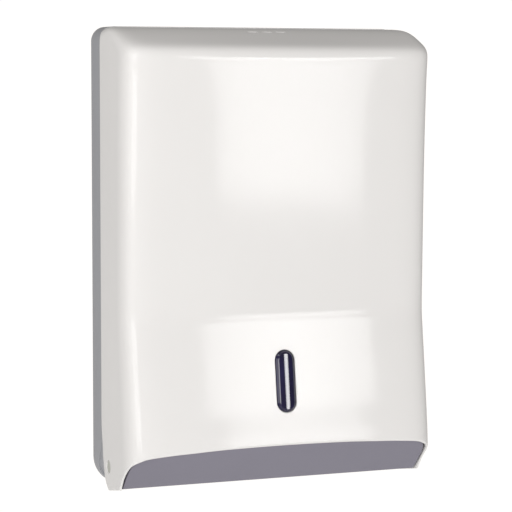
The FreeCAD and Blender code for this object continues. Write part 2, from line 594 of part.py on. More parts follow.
# ------------------------------------------------------------- towel guides
for s, name in ((-1, "towel_guide_left"), (1, "towel_guide_right")):
    def X(v):
        return s * v
    blade = prism_x([(3.1, GUIDE_Z0), (60, GUIDE_Z0), (72, GUIDE_Z0 + 14), (72, GUIDE_Z1 - 26), (50, GUIDE_Z1),
                     (3.1, GUIDE_Z1)], min(X(GUIDE_X), X(GUIDE_X + 2)), max(X(GUIDE_X), X(GUIDE_X + 2)),
                    [0, 6, 8, 14, 10, 0])
    foot = prism_y(rect(min(X(GUIDE_X + 0.5), X(GUIDE_X + 12)), max(X(GUIDE_X + 0.5), X(GUIDE_X + 12)),
                        GUIDE_Z0, GUIDE_Z1), 3.1, 5.3)
    g = fuse(blade, foot)
    for zz in (GUIDE_Z0 + 60, GUIDE_Z1 - 60):
        web = prism_z([(X(GUIDE_X + 1), 4), (X(GUIDE_X + 11), 4), (X(GUIDE_X + 1), 30)], zz - 0.8, zz + 0.8)
        g = fuse(g, web)
    for x, z in GUIDE_SCREW:
        g = g.cut(cyl_y(x, z, 2, 8, 1.8))
    add(name, one(g))
add("guide_screws", Part.makeCompound([pan_screw(x, z, 5.4, 5.0, 1.5, 3.2, 1.4) for x, z in GUIDE_SCREW]))

# ------------------------------------------------------------------- export
for name in sorted(NODES):
    s = NODES[name].copy()
    s.translate(V(0, 0, -MOUNT_Z))
    solids = s.Solids
    bb = s.BoundBox
    print("%-18s solids %d valid %s vol %10.1f  x %.1f..%.1f y %.1f..%.1f z %.1f..%.1f" % (
        name, len(solids), s.isValid(), s.Volume, bb.XMin, bb.XMax, bb.YMin, bb.YMax, bb.ZMin, bb.ZMax))
    s.exportStep("parts/%s.step" % name)
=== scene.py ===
import bpy
import bmesh
import math
import numpy as np
from mathutils import Matrix, Vector
from mathutils.geometry import delaunay_2d_cdt


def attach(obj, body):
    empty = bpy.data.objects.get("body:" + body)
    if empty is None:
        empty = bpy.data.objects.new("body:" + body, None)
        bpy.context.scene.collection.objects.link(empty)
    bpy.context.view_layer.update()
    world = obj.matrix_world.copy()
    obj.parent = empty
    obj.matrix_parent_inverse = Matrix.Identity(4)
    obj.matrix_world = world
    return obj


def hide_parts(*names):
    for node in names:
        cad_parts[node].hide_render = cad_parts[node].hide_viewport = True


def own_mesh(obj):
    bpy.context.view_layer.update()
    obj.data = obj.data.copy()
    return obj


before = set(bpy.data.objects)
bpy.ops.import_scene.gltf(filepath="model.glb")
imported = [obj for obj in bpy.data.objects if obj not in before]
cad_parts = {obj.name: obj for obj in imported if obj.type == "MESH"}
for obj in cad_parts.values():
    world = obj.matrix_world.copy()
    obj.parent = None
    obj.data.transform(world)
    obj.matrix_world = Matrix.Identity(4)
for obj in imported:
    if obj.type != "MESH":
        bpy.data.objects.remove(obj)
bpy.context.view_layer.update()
MZ = 210.0          # mm: the row's origin above the lower front edge line of the cover


def V3(x, d, z):
    """mm across, out from the wall, up -> metres in the row frame"""
    return (x / 1000.0, -d / 1000.0, (z - MZ) / 1000.0)


# ------------------------------------------------------------------ materials
def new_mat(name):
    m = bpy.data.materials.new(name)
    m.use_nodes = True
    nt = m.node_tree
    bsdf = nt.nodes["Principled BSDF"]
    return m, nt, bsdf


def noise(nt, scale, detail=3.0, rough=0.5, coord="Object", vec_scale=None):
    tc = nt.nodes.new("ShaderNodeTexCoord")
    n = nt.nodes.new("ShaderNodeTexNoise")
    n.inputs["Scale"].default_value = scale
    n.inputs["Detail"].default_value = detail
    n.inputs["Roughness"].default_value = rough
    if vec_scale is not None:
        mp = nt.nodes.new("ShaderNodeMapping")
        mp.inputs["Scale"].default_value = vec_scale
        nt.links.new(tc.outputs[coord], mp.inputs["Vector"])
        nt.links.new(mp.outputs["Vector"], n.inputs["Vector"])
    else:
        nt.links.new(tc.outputs[coord], n.inputs["Vector"])
    return n


def ramp(nt, src, stops):
    r = nt.nodes.new("ShaderNodeValToRGB")
    el = r.color_ramp.elements
    while len(el) < len(stops):
        el.new(0.5)
    for e, (p, c) in zip(el, stops):
        e.position = p
        e.color = (c, c, c, 1) if isinstance(c, (int, float)) else tuple(c) + (1,)
    nt.links.new(src, r.inputs["Fac"])
    return r


def bump(nt, bsdf, src, strength, dist):
    b = nt.nodes.new("ShaderNodeBump")
    b.inputs["Strength"].default_value = strength
    b.inputs["Distance"].default_value = dist
    nt.links.new(src, b.inputs["Height"])
    nt.links.new(b.outputs["Normal"], bsdf.inputs["Normal"])
    return b


def srgb(r, g, b):
    def f(c):
        c = c / 255.0
        return c / 12.92 if c <= 0.04045 else ((c + 0.055) / 1.055) ** 2.4
    return (f(r), f(g), f(b))


def plastic(name, col, rough, var=0.02, coat=0.0, coat_rough=0.05, grain=0.0, grain_scale=2500.0, spec=0.5,
            rough_var=0.03):
    """Moulded plastic: slight tone mottling, uneven gloss, and a fine moulded grain."""
    m, nt, b = new_mat(name)
    n1 = noise(nt, 9.0, 3.0)
    lo = tuple(c * (1 - var) for c in col)
    hi = tuple(min(1.0, c * (1 + var)) for c in col)
    r1 = ramp(nt, n1.outputs["Fac"], [(0.3, lo), (0.7, hi)])
    nt.links.new(r1.outputs["Color"], b.inputs["Base Color"])
    n2 = noise(nt, 42.0, 4.0, 0.6)
    r2 = ramp(nt, n2.outputs["Fac"], [(0.3, max(0.0, rough - rough_var)), (0.75, rough + rough_var)])
    nt.links.new(r2.outputs["Color"], b.inputs["Roughness"])
    b.inputs["Specular IOR Level"].default_value = spec
    b.inputs["Coat Weight"].default_value = coat
    b.inputs["Coat Roughness"].default_value = coat_rough
    if grain > 0:
        n3 = noise(nt, grain_scale, 2.0, 0.6)
        bump(nt, b, n3.outputs["Fac"], grain, 0.0002)
    return m


def metal(name, col, rough, stretch=(1, 1, 1), scale=400.0):
    m, nt, b = new_mat(name)
    b.inputs["Metallic"].default_value = 1.0
    n1 = noise(nt, scale, 3.0, 0.6, vec_scale=stretch)
    r1 = ramp(nt, n1.outputs["Fac"], [(0.25, tuple(c * 0.86 for c in col)), (0.75, col)])
    nt.links.new(r1.outputs["Color"], b.inputs["Base Color"])
    r2 = ramp(nt, n1.outputs["Fac"], [(0.2, rough * 0.75), (0.8, min(1.0, rough * 1.35))])
    nt.links.new(r2.outputs["Color"], b.inputs["Roughness"])
    bump(nt, b, n1.outputs["Fac"], 0.08, 0.0001)
    return m


M_COVER = plastic("cover_white", srgb(236, 234, 232), 0.078, var=0.006, grain=0.012, grain_scale=900.0, spec=0.17,
                  rough_var=0.02)
M_CASE = plastic("case_grey", srgb(163, 164, 168), 0.42, var=0.02, grain=0.10, spec=0.3)
M_TRAY = plastic("tray_grey", srgb(133, 130, 142), 0.40, var=0.02, grain=0.10, spec=0.3)
M_GUIDE = plastic("guide_grey", srgb(160, 158, 162), 0.45, var=0.02, grain=0.10, spec=0.3)
M_LOCK = plastic("lock_white", srgb(226, 226, 223), 0.38, var=0.015, grain=0.06)
M_RETAINER = plastic("retainer_white", srgb(230, 230, 227), 0.38, var=0.015, grain=0.06)
M_LATCH = plastic("latch_black", srgb(52, 52, 54), 0.36, var=0.05, grain=0.06)
M_PIN = plastic("pin_acetal", srgb(190, 191, 182), 0.33, var=0.02, grain=0.04)
M_WASHER = plastic("washer_nylon", srgb(226, 223, 212), 0.4, var=0.02, grain=0.04)
M_STEEL = metal("screw_steel", (0.62, 0.62, 0.63), 0.28)
M_CATCH = metal("catch_steel", (0.58, 0.59, 0.60), 0.32, stretch=(1, 12, 1), scale=250.0)
M_SPRING = metal("spring_steel", (0.50, 0.50, 0.52), 0.30)


def window_mat():
    m, nt, b = new_mat("window_smoke")
    n1 = noise(nt, 60.0, 2.0)
    r1 = ramp(nt, n1.outputs["Fac"], [(0.3, (0.008, 0.006, 0.032)), (0.7, (0.013, 0.010, 0.058))])
    nt.links.new(r1.outputs["Color"], b.inputs["Base Color"])
    r2 = ramp(nt, n1.outputs["Fac"], [(0.3, 0.03), (0.7, 0.05)])
    nt.links.new(r2.outputs["Color"], b.inputs["Roughness"])
    b.inputs["IOR"].default_value = 1.56
    return m


M_WINDOW = window_mat()

# ------------------------------------------------------- the cover's surface
COVER_W, COVER_T, REAR = 145.0, 2.8, 30.0
PROFILE = [(126.2, -14), (126.0, 5), (125.2, 26), (122.6, 52), (117.6, 86),
           (113.0, 118), (109.2, 142), (108.1, 153), (108.5, 166), (109.0, 205),
           (110.0, 255), (111.6, 310), (113.2, 352), (114.1, 370), (114.8, 380.6),
           (112.8, 386.9), (107.5, 390.3), (99.3, 392.9), (86, 396.9), (72, 401.2),
           (60, 404.5), (49, 406.4), (40, 406.8), (REAR, 406.8)]
SIDE_RUN = [(93, -14), (93, 5), (92.5, 26), (90.5, 52), (86, 86),
            (82, 118), (78.5, 142), (77.5, 153), (77.8, 166), (78.2, 205),
            (78.8, 255), (79.8, 310), (82, 348), (83, 366), (84.3, 377),
            (84.0, 382.0), (82.5, 385), (79.0, 387.5), (71, 391.0), (62, 395.0),
            (53, 396.7), (45, 396.0), (38, 394.0), (REAR, 391.0)]
BOW = [4.3, 4.3, 4.3, 4.3, 4.3, 4.3, 4.3, 4.3, 4.3, 4.3, 4.3, 4.3, 4.0, 3.4,
       2.5, 1.5, 0.4, -0.7, -1.5, -1.6, -1.0, -0.4, -0.1, 0.0]


def skin_net():
    w, n, rows = COVER_W, len(PROFILE), []
    for i in range(n):
        a, b = PROFILE[max(i - 1, 0)], PROFILE[min(i + 1, n - 1)]
        tx, tz = b[0] - a[0], b[1] - a[1]
        ll = math.hypot(tx, tz)
        nd, nz = tz / ll, -tx / ll
        c = PROFILE[i]
        s = (c[0] - nd * BOW[i], c[1] - nz * BOW[i])
        q = SIDE_RUN[i]
        run = math.hypot(q[0] - s[0], q[1] - s[1])
        r = run * 0.60
        half = []
        for k, x in enumerate((0.0, 0.28 * w, 0.52 * w, w - 2.5 * r, w - 1.35 * r, w - 0.5 * r)):
            f = (x / w) ** 2
            p = (c[0] + (s[0] - c[0]) * f, c[1] + (s[1] - c[1]) * f)
            if k == 5:
                p = (p[0] + (q[0] - s[0]) * 0.07, p[1] + (q[1] - s[1]) * 0.07)
            half.append((x, p[0], p[1]))
        half.append((w - 0.05 * r, s[0] + (q[0] - s[0]) * 0.35, s[1] + (q[1] - s[1]) * 0.35))
        for f in (0.70, 1.0):
            half.append((w, s[0] + (q[0] - s[0]) * f, s[1] + (q[1] - s[1]) * f))
        row = [(-x, d, z) for (x, d, z) in half[:0:-1]] + half
        if i == 0:
            row = [(x, d, -14.0) for (x, d, z) in row]
        if i == n - 1:
            row = [(x, REAR, z) for (x, d, z) in row]
        rows.append(row)
    return np.array(rows, float)


NET = skin_net()
NR, NC = NET.shape[0], NET.shape[1]
TMAX, UMAX = NR - 3.0, NC - 3.0


def bbasis(n, t, p=3):
    K = np.r_[[0] * (p + 1), np.arange(1, n - p), [n - p] * (p + 1)].astype(float)
    t = np.clip(np.asarray(t, float), 0, n - p - 1e-10)
    B = np.zeros((len(t), len(K) - 1))
    for i in range(len(K) - 1):
        B[:, i] = (t >= K[i]) & (t < K[i + 1])
    for q in range(1, p + 1):
        Bn = np.zeros((len(t), len(K) - 1 - q))
        for i in range(len(K) - 1 - q):
            a, b = K[i + q] - K[i], K[i + q + 1] - K[i + 1]
            if a > 0:
                Bn[:, i] += (t - K[i]) / a * B[:, i]
            if b > 0:
                Bn[:, i] += (K[i + q + 1] - t) / b * B[:, i + 1]
        B = Bn
    return B


def S(t, u):
    """Points of the surface for equal-length arrays of parameters."""
    t, u = np.atleast_1d(t), np.atleast_1d(u)
    A, B = bbasis(NR, t), bbasis(NC, u)
    return np.einsum("ni,ijk,nj->nk", A, NET, B)


def SN(t, u):
    """Outward unit normals, in (x, d, z)."""
    e = 2e-4
    t, u = np.atleast_1d(t).astype(float), np.atleast_1d(u).astype(float)
    t0, t1 = np.clip(t - e, 0, TMAX), np.clip(t + e, 0, TMAX)
    u0, u1 = np.clip(u - e, 0, UMAX), np.clip(u + e, 0, UMAX)
    dt = S(t1, u) - S(t0, u)
    du = S(t, u1) - S(t, u0)
    n = np.cross(du, dt)
    n /= np.linalg.norm(n, axis=1)[:, None]
    mid = S(t, u)
    out = mid - np.array([0, 40.0, 200.0])
    flip = np.sign((n * out).sum(1))
    return n * flip[:, None]


EAR_FRONT = [(80.0, -1.3), (85.5, -0.2), (87.8, 3.0), (90.5, 6.9), (93.5, 10.6), (97.0, 14.1), (100.8, 17.4),
             (105.0, 20.8), (109.5, 24.4), (112.8, 26.6), (116.0, 28.0), (120.0, 29.2), (126.0, 29.8), (140.0, 30.0)]
LIP = [(0, 37.6), (20, 37.5), (40, 37.2), (63, 36.6), (85, 35.5), (106, 34.4), (117.4, 33.5), (123, 33.0),
       (128, 32.3), (132, 31.4), (134.6, 30.4), (137, 29.3), (139.2, 27.9), (141.2, 26.0), (142.4, 23.6),
       (143.2, 19.0), (143.6, 10.0), (144.0, -30.0)]


def pchip(pts):
    """Smooth monotone curve through points, returned as a function."""
    x = np.array([p[0] for p in pts], float)
    y = np.array([p[1] for p in pts], float)
    h, dl = np.diff(x), np.diff(y) / np.diff(x)
    m = np.zeros(len(x))
    for i in range(1, len(x) - 1):
        if dl[i - 1] * dl[i] > 0:
            w1, w2 = 2 * h[i] + h[i - 1], h[i] + 2 * h[i - 1]
            m[i] = (w1 + w2) / (w1 / dl[i - 1] + w2 / dl[i])
    m[0], m[-1] = dl[0], dl[-1]

    def f(v):
        v = np.clip(np.asarray(v, float), x[0], x[-1])
        i = np.clip(np.searchsorted(x, v) - 1, 0, len(x) - 2)
        s = (v - x[i]) / h[i]
        return ((1 + 2 * s) * (1 - s) ** 2 * y[i] + s * (1 - s) ** 2 * h[i] * m[i]
                + s * s * (3 - 2 * s) * y[i + 1] + s * s * (s - 1) * h[i] * m[i + 1])
    return f


ear_z, lip_z = pchip(EAR_FRONT), pchip(LIP)


def low_edge(x, d):
    a, b = lip_z(np.abs(x)), ear_z(d)
    k = 1.6                                     # a soft maximum, so the lip runs smoothly into the ear
    return np.maximum(a, b) + k * 0.25 * np.clip(1 - np.abs(a - b) / k, 0, 1) ** 2


def t_low(u):
    lo, hi = np.zeros(len(u)), np.full(len(u), 4.2)
    for _ in range(40):
        mid = (lo + hi) / 2
        p = S(mid, u)
        under = p[:, 2] < low_edge(p[:, 0], p[:, 1])
        lo, hi = np.where(under, mid, lo), np.where(under, hi, mid)
    return (lo + hi) / 2


class Mesh:
    """Collects vertices and faces in mm (x, d, z) and makes one Blender object.

    With normals given for its vertices, these are what it is shaded with."""

    def __init__(self):
        self.v, self.f, self.n = [], [], []

    def add(self, pts, nrm=None):
        k = len(self.v)
        self.v.extend([tuple(p) for p in pts])
        if nrm is not None:
            self.n.extend([tuple(p) for p in nrm])
        return list(range(k, k + len(pts)))

    def quads(self, a, b, closed=False):
        n = len(a)
        for i in range(n if closed else n - 1):
            j = (i + 1) % n
            f = [a[i], a[j], b[j], b[i]]
            g = []
            for q in f:
                if q not in g:
                    g.append(q)
            if len(g) > 2:
                self.f.append(g)

    def build(self, name, mat, body, nodes=(), sharp=30.0, recalc=True):
        me = bpy.data.meshes.new(name)
        own = len(self.n) == len(self.v)
        if own:
            used = sorted(set(k for f in self.f for k in f))
            at = {k: i for i, k in enumerate(used)}
            self.v = [self.v[k] for k in used]
            self.n = [self.n[k] for k in used]
            self.f = [[at[k] for k in f] for f in self.f]
        me.from_pydata([V3(*p) for p in self.v], [], self.f)
        bm = bmesh.new()
        bm.from_mesh(me)
        if not own:
            bmesh.ops.remove_doubles(bm, verts=bm.verts, dist=1e-6)
            loose = [v for v in bm.verts if not v.link_faces]
            bmesh.ops.delete(bm, geom=loose, context="VERTS")
        if recalc:
            bmesh.ops.recalc_face_normals(bm, faces=bm.faces)
        bm.to_mesh(me)
        bm.free()
        for p in me.polygons:
            p.use_smooth = True
        if own:
            me.normals_split_custom_set_from_vertices([Vector((a, -b, c)).normalized() for a, b, c in self.n])
        else:
            me.set_sharp_from_angle(angle=math.radians(sharp))
        o = bpy.data.objects.new(name, me)
        bpy.context.scene.collection.objects.link(o)
        o.data.materials.append(mat)
        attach(o, body)
        if nodes:
            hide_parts(*nodes)
        return o


# ------------------------------------------------------------ cover: columns
xs_mid = np.linspace(-21.0, 21.0, 53)


def u_of_x(x):
    lo, hi = np.full(len(x), 3.0), np.full(len(x), 11.0)
    for _ in range(40):
        m = (lo + hi) / 2
        p = S(np.full(len(m), 9.0), m)
        less = p[:, 0] < x
        lo, hi = np.where(less, m, lo), np.where(less, hi, m)
    return (lo + hi) / 2


u_mid = u_of_x(xs_mid)
u_corner = np.linspace(0.0, 4.2, 44)
u_flat = np.linspace(4.2, u_mid[0], 26)
U = np.r_[u_corner, u_flat[1:-1], u_mid, (UMAX - u_flat)[::-1][1:-1], (UMAX - u_corner)[::-1]]
U = np.sort(U)


# rows: parameter values up the centre line, by wanted spacing
def rows_between(z0, z1, step, key=2):
    tt = np.linspace(0.5, TMAX, 6000)
    c = S(tt, np.full(len(tt), UMAX / 2))
    return tt, c


tt, cc = rows_between(0, 0, 0)
arc = np.r_[0, np.cumsum(np.linalg.norm(np.diff(cc, axis=0), axis=1))]


def t_at_arc(a):
    return np.interp(a, arc, tt)


def arc_at_z(z):
    front = cc[:, 1] > 100
    zz, aa = cc[front][:, 2], arc[front]
    k = np.argmax(zz > z)
    return aa[k]


def arc_at_d(d):
    top = (cc[:, 2] > 385) & (arc > arc_at_z(380))
    dd, aa = cc[top][:, 1], arc[top]
    k = np.argmax(dd < d)
    return aa[k]


marks = [(arc_at_z(58), 1.3), (arc_at_z(132), 1.3), (arc_at_z(134), 1.5), (arc_at_z(168), 2.4), (arc_at_z(200), 3.6),
         (arc_at_z(345), 2.4), (arc_at_z(372), 1.1), (arc_at_d(108), 0.9), (arc_at_d(98), 1.1), (arc_at_d(76), 0.8),
         (arc_at_d(72), 0.62), (arc_at_d(62), 0.7), (arc_at_d(56), 1.4), (arc[-1], 1.4)]
a, out = marks[0][0], []
while a < arc[-1] - 0.4:
    out.append(a)
    step = np.interp(a, [m[0] for m in marks], [m[1] for m in marks])
    a += step
out.append(arc[-1])
T_UP = t_at_arc(np.array(out))
T_UP[-1] = TMAX
N_LOW = 20
tl = t_low(U)
rows_t = []
for k in range(N_LOW):
    f = 0.14 + 0.86 * (k - 1) / (N_LOW - 1) if k else 0.0     # the lip's rounding needs room
    rows_t.append(tl + (T_UP[0] - tl) * f)
for t in T_UP:
    rows_t.append(np.full(len(U), t))
TG = np.array(rows_t)                          # rows x columns
UG = np.tile(U, (len(TG), 1))
RN, CN = TG.shape


def invert(x, key, kval, t0, u0):
    """Parameters where the surface has a given x and a given d or z."""
    t, u = np.array(t0, float), np.array(u0, float)
    for _ in range(14):
        p = S(t, u)
        e = 1e-4
        pt, pu = (S(t + e, u) - p) / e, (S(t, u + e) - p) / e
        fx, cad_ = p[:, 0] - x, p[:, key] - kval
        det = pt[:, 0] * pu[:, key] - pu[:, 0] * pt[:, key]
        t = t - (fx * pu[:, key] - pu[:, 0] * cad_) / det
        u = u - (pt[:, 0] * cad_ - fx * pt[:, key]) / det
        t, u = np.clip(t, 0, TMAX), np.clip(u, 0, UMAX)
    return t, u


class Sheet:
    """Outer sheet with its normals; edges are rounded over the wall's thickness."""

    def __init__(self, wall):
        self.p, self.n, self.f, self.loops = [], [], [], []
        self.wall = wall

    def add(self, pts, nrm):
        k = len(self.p)
        self.p.extend(np.asarray(pts, float))
        self.n.extend(np.asarray(nrm, float))
        return list(range(k, k + len(pts)))

    def quads(self, a, b, closed=False):
        n = len(a)
        for i in range(n if closed else n - 1):
            j = (i + 1) % n
            g = []
            for q in (a[i], a[j], b[j], b[i]):
                if q not in g:
                    g.append(q)
            if len(g) > 2:
                self.f.append(g)


sh = Sheet(COVER_T)
grid = np.empty((RN, CN), int)
for i in range(RN):
    grid[i] = sh.add(S(TG[i], UG[i]), SN(TG[i], UG[i]))


def col_range(x0, x1):
    p = S(np.full(CN, 9.0), U)
    return int(np.argmin(abs(p[:, 0] - x0))), int(np.argmin(abs(p[:, 0] - x1)))


def row_range(key, v0, v1):
    c = S(TG[:, CN // 2], np.full(RN, UMAX / 2))
    ok = np.where((c[:, 1] > 100) if key == 2 else (c[:, 2] > 385))[0]
    ok = ok[ok >= N_LOW]
    a_ = ok[np.argmin(abs(c[ok][:, key] - v0))]
    b_ = ok[np.argmin(abs(c[ok][:, key] - v1))]
    return int(min(a_, b_)), int(max(a_, b_))


holes = []          # blocks of the grid replaced by rings round an opening


def opening(x0, x1, key, v0, v1, cx, cy, hw, hh, r, layers):
    j0, j1 = col_range(x0, x1)
    i0, i1 = row_range(key, v0, v1)
    ring = [(i0, j) for j in range(j0, j1)] + [(i, j1) for i in range(i0, i1)] + \
           [(i1, j) for j in range(j1, j0, -1)] + [(i, j0) for i in range(i1, i0, -1)]
    ids = [int(grid[i, j]) for i, j in ring]
    pts = np.array([sh.p[k] for k in ids])
    tb = np.array([TG[i, j] for i, j in ring])
    ub = np.array([UG[i, j] for i, j in ring])
    # directions from the opening's middle line, so the points spread evenly round its ends
    core = max(hh - hw, 0.0) if hh >= hw else 0.0
    angs, base = [], []
    for p in pts:
        px, py = p[0] - cx, p[key] - cy
        yc = max(-core, min(core, py * (core / max(1e-6, abs(pts[:, key] - cy).max() - (abs(pts[:, 0] - cx).max() - 0.001)))
                            if core > 0 else 0.0))
        base.append(yc)
        angs.append(math.atan2(py - yc, px))
    base, angs = np.array(base), np.array(angs)
    tgt = []
    for yc, a_ in zip(base, angs):
        dx, dy = math.cos(a_), math.sin(a_)
        lo_, hi_ = 0.0, 200.0
        for _ in range(50):
            m_ = (lo_ + hi_) / 2
            x_, y_ = abs(dx * m_), abs(yc + dy * m_)
            if x_ > hw - r and y_ > hh - r:
                inside = math.hypot(x_ - (hw - r), y_ - (hh - r)) < r
            else:
                inside = x_ < hw and y_ < hh
            lo_, hi_ = (m_, hi_) if inside else (lo_, m_)
        tgt.append((cx + dx * lo_, cy + yc + dy * lo_))
    tgt = np.array(tgt)
    to, uo = invert(tgt[:, 0], key, tgt[:, 1], tb, ub)
    prev = ids
    for k in range(1, layers + 1):
        f = k / layers
        ti, ui = tb + (to - tb) * f, ub + (uo - ub) * f
        cur = sh.add(S(ti, ui), SN(ti, ui))
        sh.quads(prev, cur, closed=True)
        prev = cur
    holes.append((i0, i1, j0, j1))
    sh.loops.append(prev)


WIN_Z, WIN_W, WIN_H = 94.0, 18.1, 54.6
BEVEL_IN, BEVEL_IN_END, BEVEL_EASE, BEVEL_RISE, DOME = 0.66, 0.82, 0.25, 1.45, 0.33
opening(-15.0, 15.0, 2, WIN_Z - 33.5, WIN_Z + 33.5, 0.0, WIN_Z, WIN_W / 2 + 0.25, WIN_H / 2 + 0.25,
        WIN_W / 2 + 0.2, 6)
SLOT_D, SLOT_P = 67.0, 13.5
for k in (-1, 0, 1):
    opening(k * SLOT_P - 6.5, k * SLOT_P + 6.5, 1, SLOT_D - 3.9, SLOT_D + 3.9, k * SLOT_P, SLOT_D, 4.5, 1.6, 0.8, 3)

blocked = np.zeros((RN - 1, CN - 1), bool)
for i0, i1, j0, j1 in holes:
    blocked[i0:i1, j0:j1] = True
for i in range(RN - 1):
    for j in range(CN - 1):
        if not blocked[i, j]:
            sh.f.append([int(grid[i, j]), int(grid[i, j + 1]), int(grid[i + 1, j + 1]), int(grid[i + 1, j])])


# flat sides with the hinge ears
def round_poly(pts, radii, seg=6):
    out_ = [pts[0]]
    for i in range(1, len(pts) - 1):
        a_, b_, c_ = np.array(pts[i - 1]), np.array(pts[i]), np.array(pts[i + 1])
        r = radii[i]
        u_, w_ = (a_ - b_), (c_ - b_)
        lu, lw = np.linalg.norm(u_), np.linalg.norm(w_)
        u_, w_ = u_ / lu, w_ / lw
        half = math.acos(max(-1, min(1, float(u_ @ w_)))) / 2
        if r < 1e-6 or half > math.pi / 2 - 0.01:
            out_.append(tuple(b_))
            continue
        t_ = min(r / math.tan(half), 0.48 * lu, 0.48 * lw)
        rr = t_ * math.tan(half)
        bis = (u_ + w_) / np.linalg.norm(u_ + w_)
        cen = b_ + bis * (rr / math.sin(half))
        p1, p2 = b_ + u_ * t_ - cen, b_ + w_ * t_ - cen
        a1, a2 = math.atan2(p1[1], p1[0]), math.atan2(p2[1], p2[0])
        da = (a2 - a1 + math.pi) % (2 * math.pi) - math.pi
        for s_ in range(seg + 1):
            an = a1 + da * s_ / seg
            out_.append((cen[0] + rr * math.cos(an), cen[1] + rr * math.sin(an)))
    out_.append(pts[-1])
    return out_


def resample(pts, step):
    out_ = [pts[0]]
    for a_, b_ in zip(pts[:-1], pts[1:]):
        L = math.hypot(b_[0] - a_[0], b_[1] - a_[1])
        n = max(1, int(math.ceil(L / step)))
        for k in range(1, n + 1):
            out_.append((a_[0] + (b_[0] - a_[0]) * k / n, a_[1] + (b_[1] - a_[1]) * k / n))
    return out_


PIV_D, PIV_Z, PIV_R = 52.0, 15.0, 5.75
for side in (0, 1):
    col = 0 if side == 0 else CN - 1
    sx = -1.0 if side == 0 else 1.0
    q_ids = [int(grid[i, col]) for i in range(RN)]
    q0 = sh.p[q_ids[0]]
    d0, z0 = q0[1], q0[2]
    start = [(d0, z0), (89.6, ear_z(89.6) if d0 > 90 else z0 - 1), (85.5, -0.2), (50.6, -6.9), (44.4, -1.9),
             (39.7, 3.0), (37.4, 11.1), (34.7, 21.1), (32.7, 33.8), (REAR, 49.0), (REAR, SIDE_RUN[-1][1])]
    rad = [0, 6, 2.2, 3.0, 12, 8, 30, 40, 40, 60, 0]
    b_pts = resample(round_poly(start, rad, 7), 2.6)
    b_in = b_pts[1:-1]
    b_ids = sh.add([(sx * COVER_W, d, z) for d, z in b_in], [(sx, 0, 0)] * len(b_in))
    ring = q_ids + b_ids[::-1]
    # hinge hole
    hn = 48
    hole = [(PIV_D + PIV_R * math.cos(2 * math.pi * k / hn), PIV_Z + PIV_R * math.sin(2 * math.pi * k / hn))
            for k in range(hn)]
    h_ids = sh.add([(sx * COVER_W, d, z) for d, z in hole], [(sx, 0, 0)] * hn)
    verts = [Vector((sh.p[k][1], sh.p[k][2])) for k in ring + h_ids]
    n1 = len(ring)
    edges = [(k, (k + 1) % n1) for k in range(n1)] + [(n1 + k, n1 + (k + 1) % hn) for k in range(hn)]
    res = delaunay_2d_cdt(verts, edges, [], 0, 1e-7)
    ov, oe, of_, orig = res[0], res[1], res[2], res[3]
    back = [o_[0] if o_ else None for o_ in orig]
    poly = [(v.x, v.y) for v in verts[:n1]]

    def inside(px, py):
        c_ = False
        for k in range(n1):
            x1, y1 = poly[k]
            x2, y2 = poly[(k + 1) % n1]
            if (y1 > py) != (y2 > py) and px < (x2 - x1) * (py - y1) / (y2 - y1) + x1:
                c_ = not c_
        return c_
    allid = ring + h_ids
    for tri in of_:
        if any(back[k] is None for k in tri):
            continue
        cx_, cy_ = sum(ov[k].x for k in tri) / 3, sum(ov[k].y for k in tri) / 3
        if math.hypot(cx_ - PIV_D, cy_ - PIV_Z) < PIV_R * 0.99 or not inside(cx_, cy_):
            continue
        sh.f.append([allid[back[k]] for k in tri])
    sh.loops.append(h_ids)
    if side == 0:
        left_b = b_ids
    else:
        right_b = b_ids

bottom = [int(grid[0, j]) for j in range(CN)]
top = [int(grid[RN - 1, j]) for j in range(CN)]
perimeter = bottom + right_b + top[::-1] + left_b[::-1]
sh.loops.append(perimeter)


